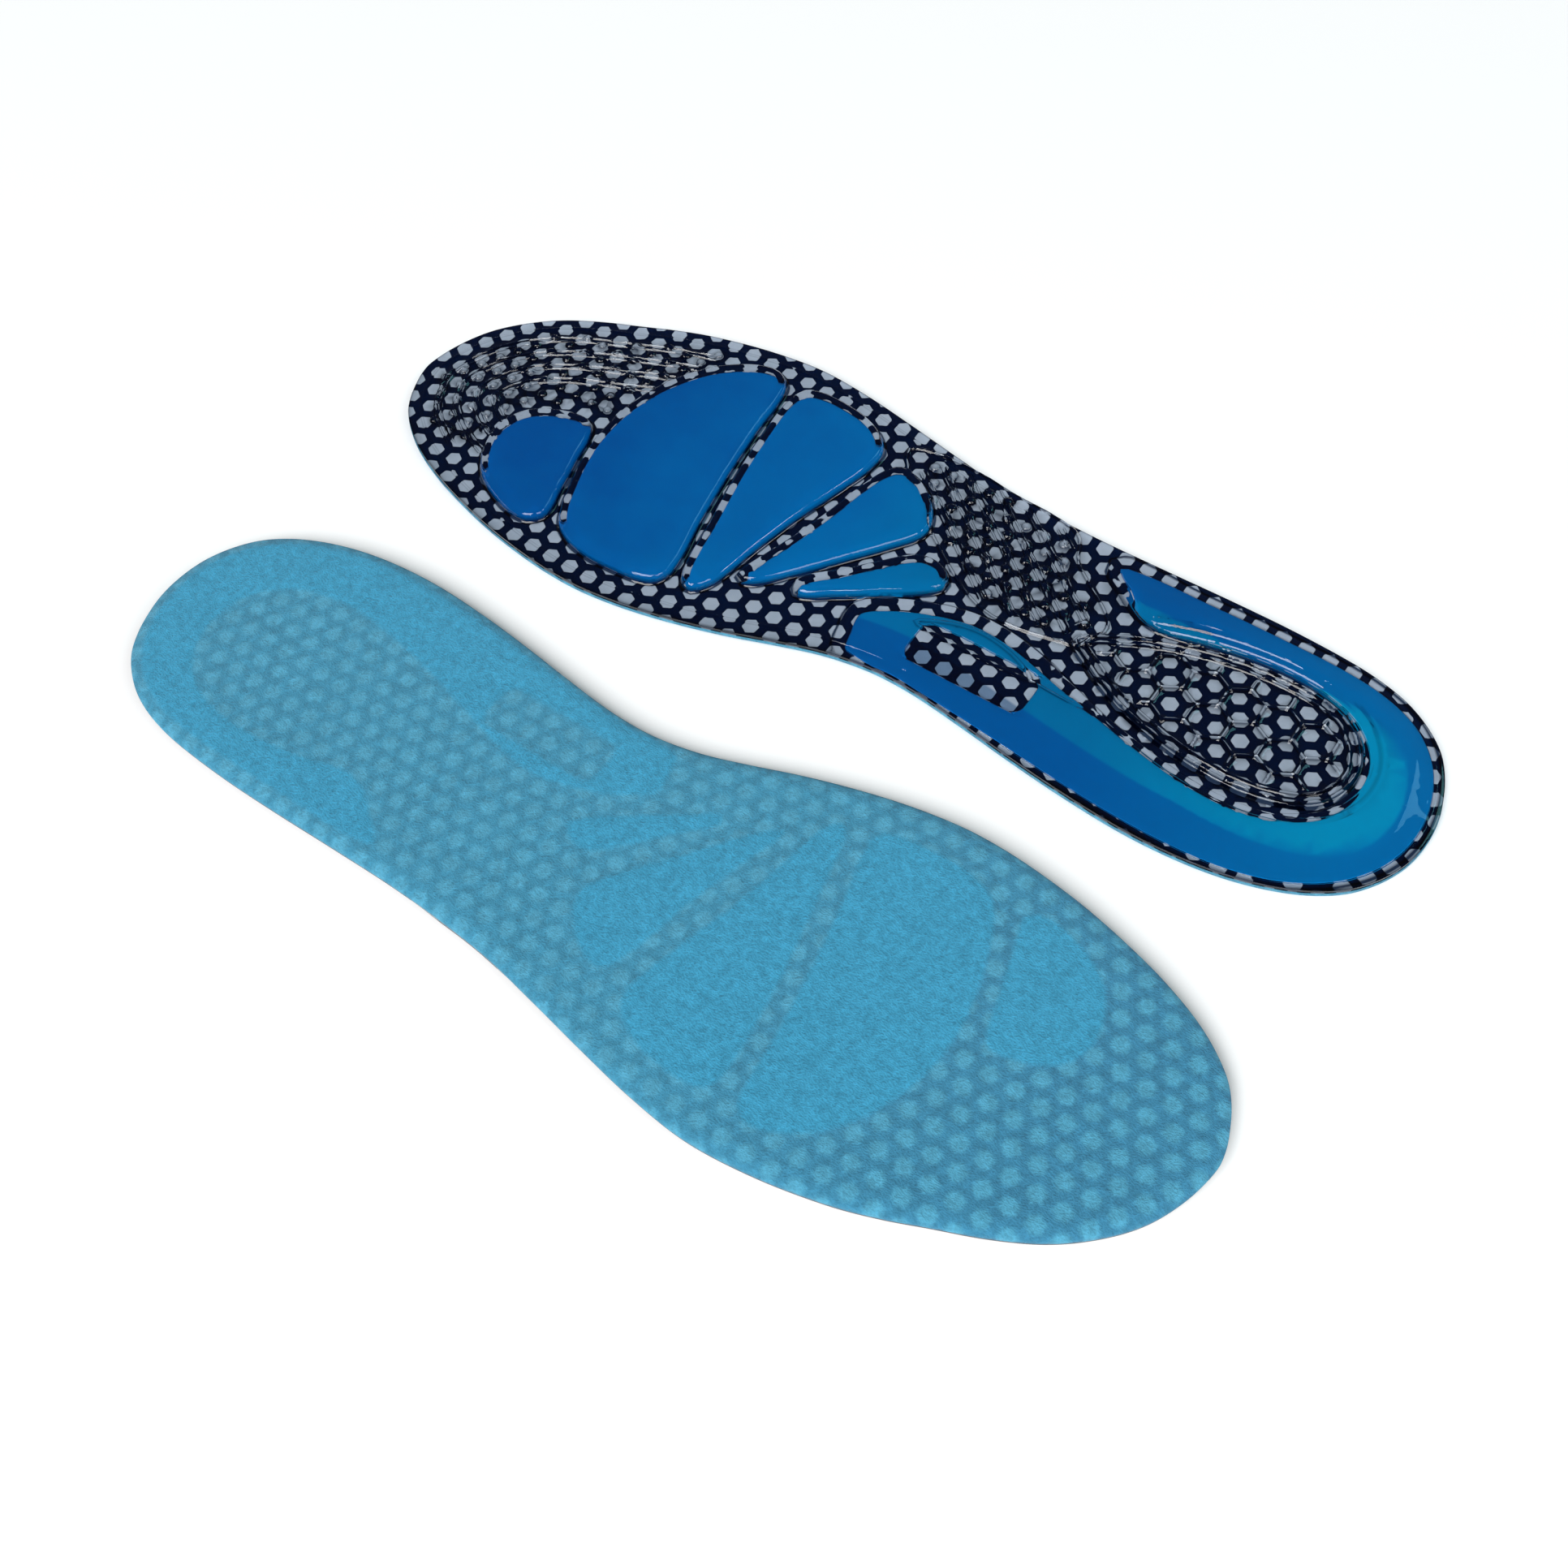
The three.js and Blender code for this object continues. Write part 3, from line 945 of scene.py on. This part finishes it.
def blue_gel():
    """Soft blue gel, a little uneven, darker at the toe and paler at the heel's end, with painted shade
    under the heel's slope.
    """
    made, tree, shader = new_material("blue gel")
    where, along = object_coordinates(tree), way_along(tree)
    from_toe = ranged(tree, along, 240, 120)
    tone = calc(tree, "ADD", from_toe, ranged(tree, noise(tree, where, 70, 3), 0.3, 0.7, -0.12, 0.12))
    forefoot = mixed(tree, tone, srgb(0, 61, 119), srgb(0, 88, 141))
    to_heel = ranged(tree, along, 75, 20)
    # The heel's blue in a flat copy and a darker copy for its slope, which is painted shade.
    heel_flat = mixed(tree, to_heel, srgb(0, 83, 125), srgb(0, 109, 145))
    heel_slope_painted_shade = mixed(tree, to_heel, srgb(0, 66, 121), srgb(0, 81, 131))
    flat = mixed(tree, ranged(tree, along, 155, 120), forefoot, heel_flat)
    colour = mixed(tree, mark(tree, "painted_slope_shade"), flat, heel_slope_painted_shade)
    tree.links.new(colour, shader.inputs["Base Color"])
    shader.inputs["Roughness"].default_value = 0.45
    shader.inputs["Specular IOR Level"].default_value = 0.0
    tree.links.new(bumped(tree, noise(tree, where, 400, 2), 0.00004), shader.inputs["Normal"])
    return made


def clear_gel():
    """Clear, slightly wavy gel, with painted shade on steep relief and a dark line at the rim. Shadow rays
    pass, to light what lies in it.
    """
    made, tree, shader = new_material("clear gel")
    # Painted shade: the gel's clear colour goes near black where the mesh marks it steep and at the rim.
    tint_and_painted_shade = mixed(tree, mark(tree, "steep"), (0.93, 0.98, 1.0, 1.0), (0.004, 0.01, 0.03, 1.0))
    tree.links.new(tint_and_painted_shade, shader.inputs["Base Color"])
    shader.inputs["Roughness"].default_value = 0.03
    shader.inputs["IOR"].default_value = 1.45
    shader.inputs["Transmission Weight"].default_value = 1.0
    where = object_coordinates(tree)
    tree.links.new(bumped(tree, noise(tree, where, 120, 1), 0.00008), shader.inputs["Normal"])
    through = tree.nodes.new("ShaderNodeBsdfTransparent")
    ray = tree.nodes.new("ShaderNodeLightPath")
    choice = tree.nodes.new("ShaderNodeMixShader")
    tree.links.new(ray.outputs["Is Shadow Ray"], choice.inputs[0])
    tree.links.new(shader.outputs[0], choice.inputs[1])
    tree.links.new(through.outputs[0], choice.inputs[2])
    tree.links.new(choice.outputs[0], tree.nodes["Material Output"].inputs["Surface"])
    return made


def velour():
    """Brushed blue velour, with the film's print and the pads showing faintly through it."""
    made, tree, shader = new_material("velour")
    where = object_coordinates(tree)
    stretch = tree.nodes.new("ShaderNodeMapping")
    stretch.inputs["Scale"].default_value = (1.0, 1.9, 1.0)
    stretch.inputs["Rotation"].default_value = (0, 0, math.radians(35))
    tree.links.new(where, stretch.inputs["Vector"])
    nap = noise(tree, stretch.outputs[0], 1700, 3, 0.65)
    patches = noise(tree, where, 600, 3, 0.6)
    fray = tree.nodes.new("ShaderNodeTexNoise")
    fray.inputs["Scale"].default_value = 900
    fray.inputs["Detail"].default_value = 3
    tree.links.new(where, fray.inputs["Vector"])
    pushed = tree.nodes.new("ShaderNodeVectorMath")
    pushed.operation = "MULTIPLY_ADD"
    tree.links.new(fray.outputs["Color"], pushed.inputs[0])
    pushed.inputs[1].default_value = (1.3, 1.3, 0)
    tree.links.new(plan_coordinates(tree), pushed.inputs[2])
    mask = honeycomb(tree, 3.7, 1.0, pushed.outputs[0])
    ground = mixed(tree, ranged(tree, way_along(tree), 170, 250), srgb(68, 145, 177), srgb(63, 134, 168))
    show_through = mixed(tree, mask, ground, srgb(83, 161, 192))
    colour = mixed(tree, mark(tree, "over_pads"), show_through, srgb(64, 155, 192))
    shade = ranged(tree, calc(tree, "ADD", nap, patches), 0.7, 1.3, 0.74, 1.26)
    grey = tree.nodes.new("ShaderNodeCombineColor")
    for socket in grey.inputs:
        tree.links.new(shade, socket)
    tree.links.new(mixed(tree, 1.0, colour, grey.outputs[0], "MULTIPLY"), shader.inputs["Base Color"])
    shader.inputs["Roughness"].default_value = 0.95
    shader.inputs["Specular IOR Level"].default_value = 0.1
    shader.inputs["Sheen Weight"].default_value = 0.12
    shader.inputs["Sheen Roughness"].default_value = 0.5
    tree.links.new(bumped(tree, calc(tree, "ADD", nap, patches), 0.00045), shader.inputs["Normal"])
    return made


# ---------------------------------------------------------------- studio

LIGHT_DISTANCE = 4.4
CAMERA_LENS = 41.64
CAMERA_PLACE = (0.1559, -0.1873, 0.3455)
CAMERA_TURN = (32.754, 2.664, 34.866)


def softbox(name, azimuth, elevation, size, power, colour=(1, 1, 1)):
    """A square area light that looks at the insoles. Azimuth 0 is on the near side, 90 to the right."""
    data = bpy.data.lights.new(name, "AREA")
    data.shape = "SQUARE"
    data.size = size
    data.energy = power
    data.color = colour
    light = bpy.data.objects.new(name, data)
    a, e = math.radians(azimuth), math.radians(elevation)
    way = Vector((math.sin(a) * math.cos(e), -math.cos(a) * math.cos(e), math.sin(e)))
    light.location = way * LIGHT_DISTANCE
    light.rotation_euler = way.to_track_quat("Z", "Y").to_euler()
    bpy.context.scene.collection.objects.link(light)


def studio():
    """A plain pale floor, soft lights round the insoles, a pale backdrop and the camera."""
    bpy.ops.mesh.primitive_plane_add(size=6, location=(0, 0, -0.0002))
    floor = bpy.context.object
    floor.name = "floor"
    made, _, shader = new_material("pale floor")
    shader.inputs["Base Color"].default_value = (0.98, 0.98, 0.98, 1)
    shader.inputs["Roughness"].default_value = 0.9
    shader.inputs["Specular IOR Level"].default_value = 0.0
    floor.data.materials.append(made)
    softbox("key", 5, 47, 2.9, 234.0)
    softbox("fill", 75, 41, 2.0, 56.0)
    softbox("back", 148, 40, 1.5, 16.0, (0.3, 0.9, 1.0))
    softbox("glint", 110, 35, 0.6, 12.0)
    world = bpy.data.worlds.new("studio")
    bpy.context.scene.world = world
    world.use_nodes = True
    tree = world.node_tree
    ambient = tree.nodes["Background"]
    ambient.inputs["Color"].default_value = (1, 1, 1, 1)
    ambient.inputs["Strength"].default_value = 0.06
    backdrop = tree.nodes.new("ShaderNodeBackground")
    backdrop.inputs["Color"].default_value = (0.9, 0.9, 0.9, 1)
    seen = tree.nodes.new("ShaderNodeLightPath")
    either = tree.nodes.new("ShaderNodeMixShader")
    tree.links.new(seen.outputs["Is Camera Ray"], either.inputs[0])
    tree.links.new(ambient.outputs[0], either.inputs[1])
    tree.links.new(backdrop.outputs[0], either.inputs[2])
    tree.links.new(either.outputs[0], tree.nodes["World Output"].inputs["Surface"])
    bpy.context.scene.view_settings.view_transform = "Standard"
    camera_data = bpy.data.cameras.new("camera")
    camera_data.lens = CAMERA_LENS
    camera = bpy.data.objects.new("camera", camera_data)
    camera.location = CAMERA_PLACE
    camera.rotation_euler = [math.radians(angle) for angle in CAMERA_TURN]
    bpy.context.scene.collection.objects.link(camera)
    bpy.context.scene.camera = camera


def insoles():
    """Both insoles, each piece made once and placed twice."""
    cloth, print_finish, pad_finish, gel_finish = velour(), printed_film(), blue_gel(), clear_gel()
    cover, film, island, gel = cover_mesh(), film_mesh(), island_mesh(), gel_mesh()
    pads = {name: pad_mesh(name, ring) for name, ring in PAD_OUTLINES.items()}
    pads["heel_arch_pad"] = pad_mesh("heel_arch_pad", HEEL_PAD_OUTLINE, ISLAND_OUTLINE)
    holes = sum(area_of(ring) for ring in (*PAD_OUTLINES.values(), HEEL_PAD_OUTLINE))
    for side in SIDES:
        made = placed(film, side, "print_film", "honeycomb_film", print_finish)
        (area_of(EDGE) - holes) * MM * MM
        made = placed(cover, side, "velour_cover", "top_cover", cloth)
        area_of(EDGE) * MM * MM
        made = placed(island, side, "print_island", "arch_honeycomb_patch", print_finish)
        for name, mesh in pads.items():
            made = placed(mesh, side, name.replace("pad", "cushion"), name, pad_finish)
        made = placed(gel, side, "gel_sole", "clear_gel", gel_finish)


studio()
insoles()
